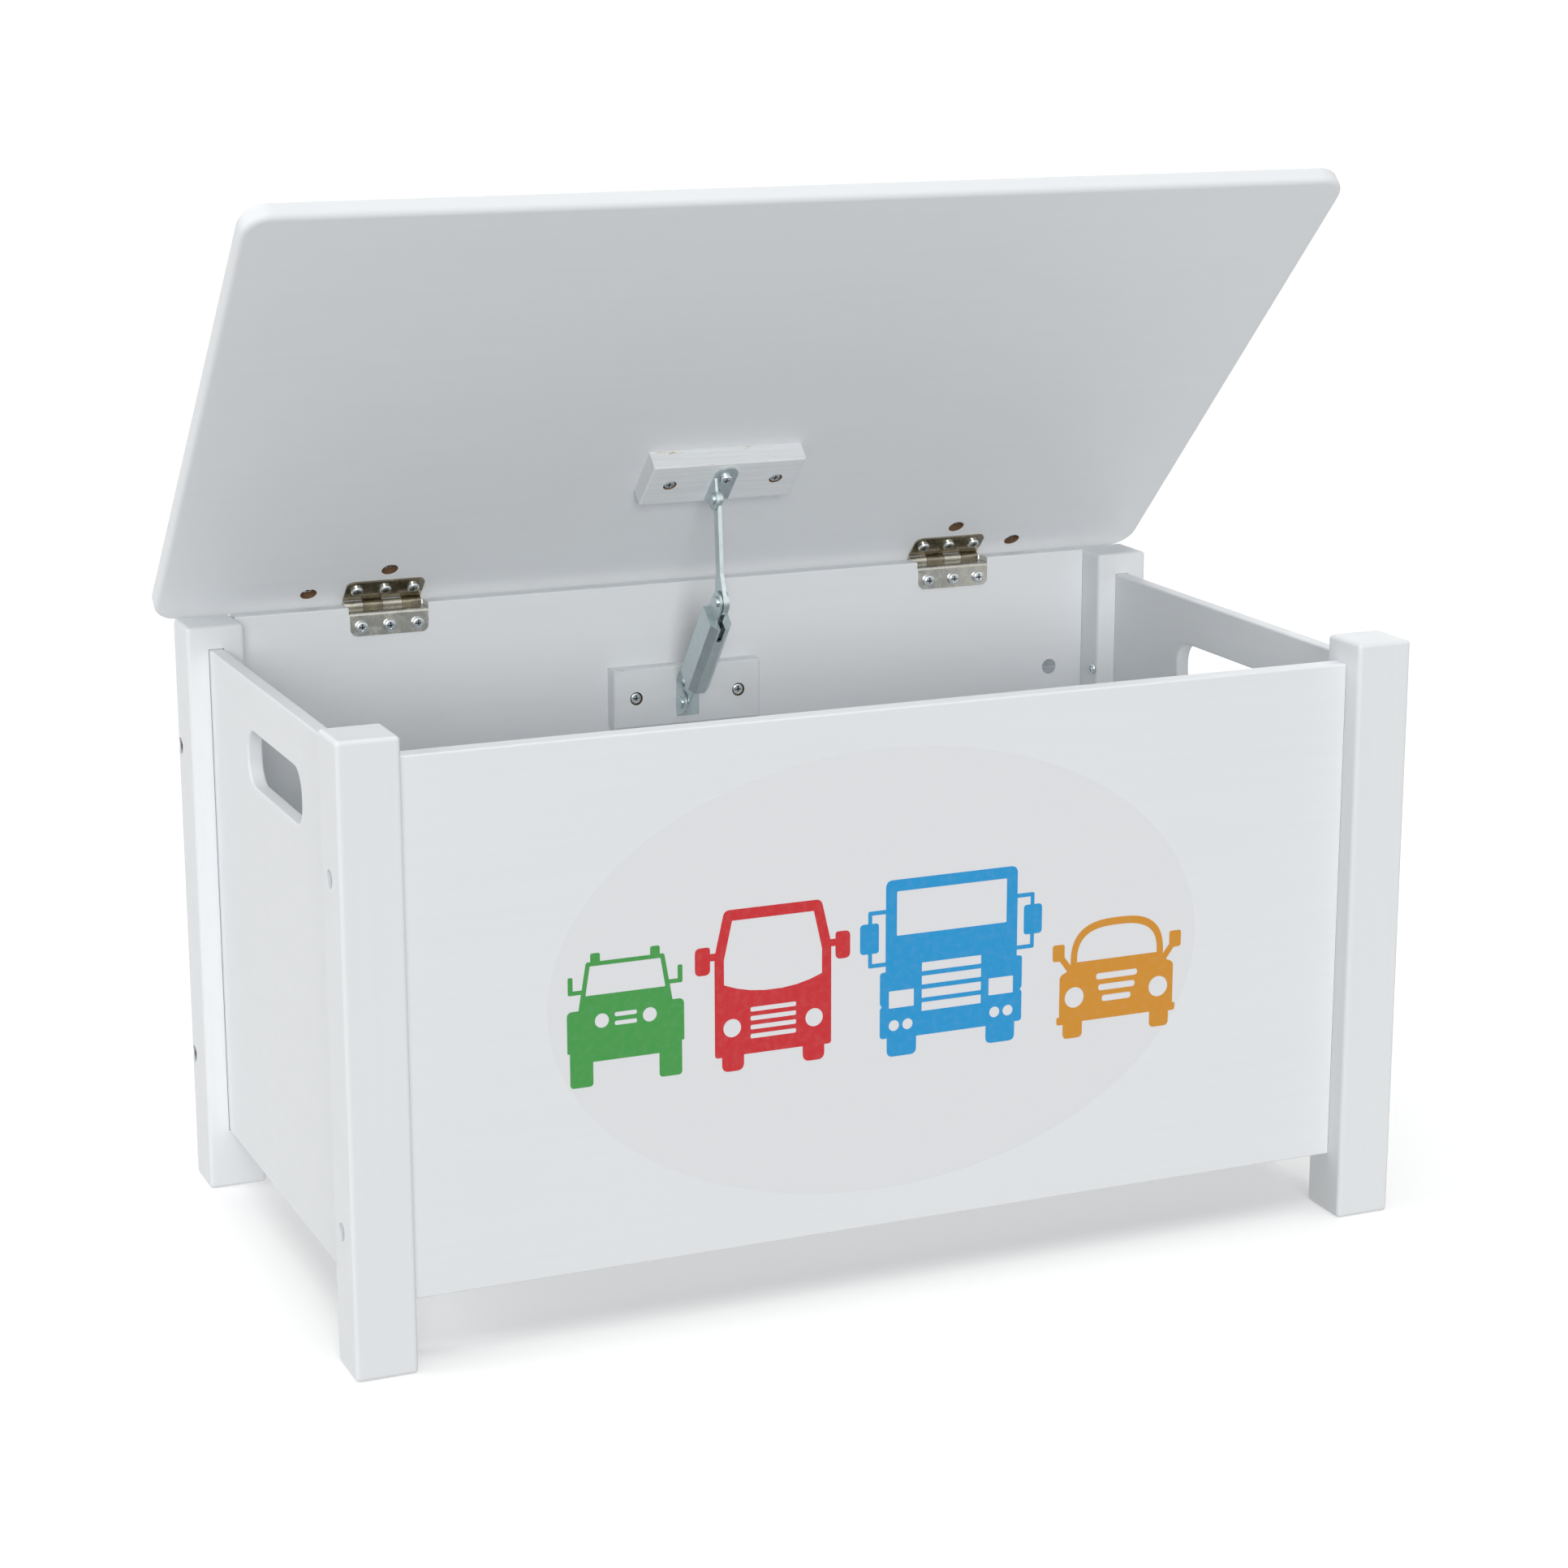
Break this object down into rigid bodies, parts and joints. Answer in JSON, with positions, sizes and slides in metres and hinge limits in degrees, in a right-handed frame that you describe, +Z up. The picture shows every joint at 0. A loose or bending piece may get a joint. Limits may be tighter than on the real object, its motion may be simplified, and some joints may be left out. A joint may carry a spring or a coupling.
{
  "type": "wooden toy box",
  "caption": "White wooden toy box with post legs, side handle slots, a hinged lid held by a folding friction stay, and a printed front panel.",
  "frame": {"origin": "on the floor, in the middle of the whole object with its lid part open", "axes": "+X to the right along the box, +Y to the back, +Z up"},
  "size_m": [0.672, 0.3717, 0.6209],
  "materials": {
    "white_paint": "satin white paint over MDF and pine",
    "nickel": "bright nickel plate, warm",
    "zinc_plate": "blue-white zinc plate on pressed steel",
    "screw_steel": "bright zinc-plated screws and bolts",
    "spring_steel": "oiled spring steel",
    "dowel_wood": "bare beech"
  },
  "bodies": {
    "box": {"post_front_left": "white_paint", "post_front_right": "white_paint", "post_rear_left": "white_paint", "post_rear_right": "white_paint", "front_panel": "white_paint", "back_panel": "white_paint", "side_panel_left": "white_paint", "side_panel_right": "white_paint", "base_panel": "white_paint", "bolts_front": "screw_steel", "bolts_rear": "screw_steel", "cross_dowels_front": "screw_steel", "cross_dowels_rear": "screw_steel", "dowels": "dowel_wood", "side_panel_screws": "screw_steel", "hinge_lower_leaf_left": "nickel", "hinge_lower_leaf_right": "nickel", "hinge_pin_left": "nickel", "hinge_pin_right": "nickel", "hinge_screws_lower": "screw_steel", "stay_block_lower": "white_paint", "block_screws_lower": "screw_steel", "stay_bracket_lower": "zinc_plate", "bracket_screw_lower": "screw_steel", "rivet_lower": "zinc_plate"},
    "lid": {"lid": "white_paint", "lid_screws": "screw_steel", "hinge_upper_leaf_left": "nickel", "hinge_upper_leaf_right": "nickel", "hinge_screws_upper": "screw_steel", "stay_block_upper": "white_paint", "block_screws_upper": "screw_steel", "stay_bracket_upper": "zinc_plate", "bracket_screw_upper": "screw_steel", "rivet_upper": "zinc_plate"},
    "stay_housing": {"stay_housing": "zinc_plate", "stay_plunger": "zinc_plate", "stay_spring": "spring_steel", "rivet_knee": "zinc_plate"},
    "stay_arm": {"stay_arm": "zinc_plate"}
  },
  "joints": [
    {"name": "lid_hinge", "type": "hinge", "parent": "box", "child": "lid", "pos_m": [0, 0.17154, 0.3534], "axis": [-1, 0, 0], "range_deg": [-45, 7]},
    {"name": "stay_housing_swing", "type": "hinge", "parent": "box", "child": "stay_housing", "pos_m": [-0.00475, 0.13624, 0.281], "axis": [-1, 0, 0], "range_deg": [-56, 9]},
    {"name": "stay_arm_swing", "type": "hinge", "parent": "lid", "child": "stay_arm", "pos_m": [-0.00475, 0.08018, 0.42043], "axis": [-1, 0, 0], "range_deg": [-10, 61]}
  ],
  "couplings": [
    {"joint": "stay_housing_swing", "follows": "lid_hinge", "ratio": 1.2304},
    {"joint": "stay_arm_swing", "follows": "lid_hinge", "ratio": -1.3409}
  ]
}
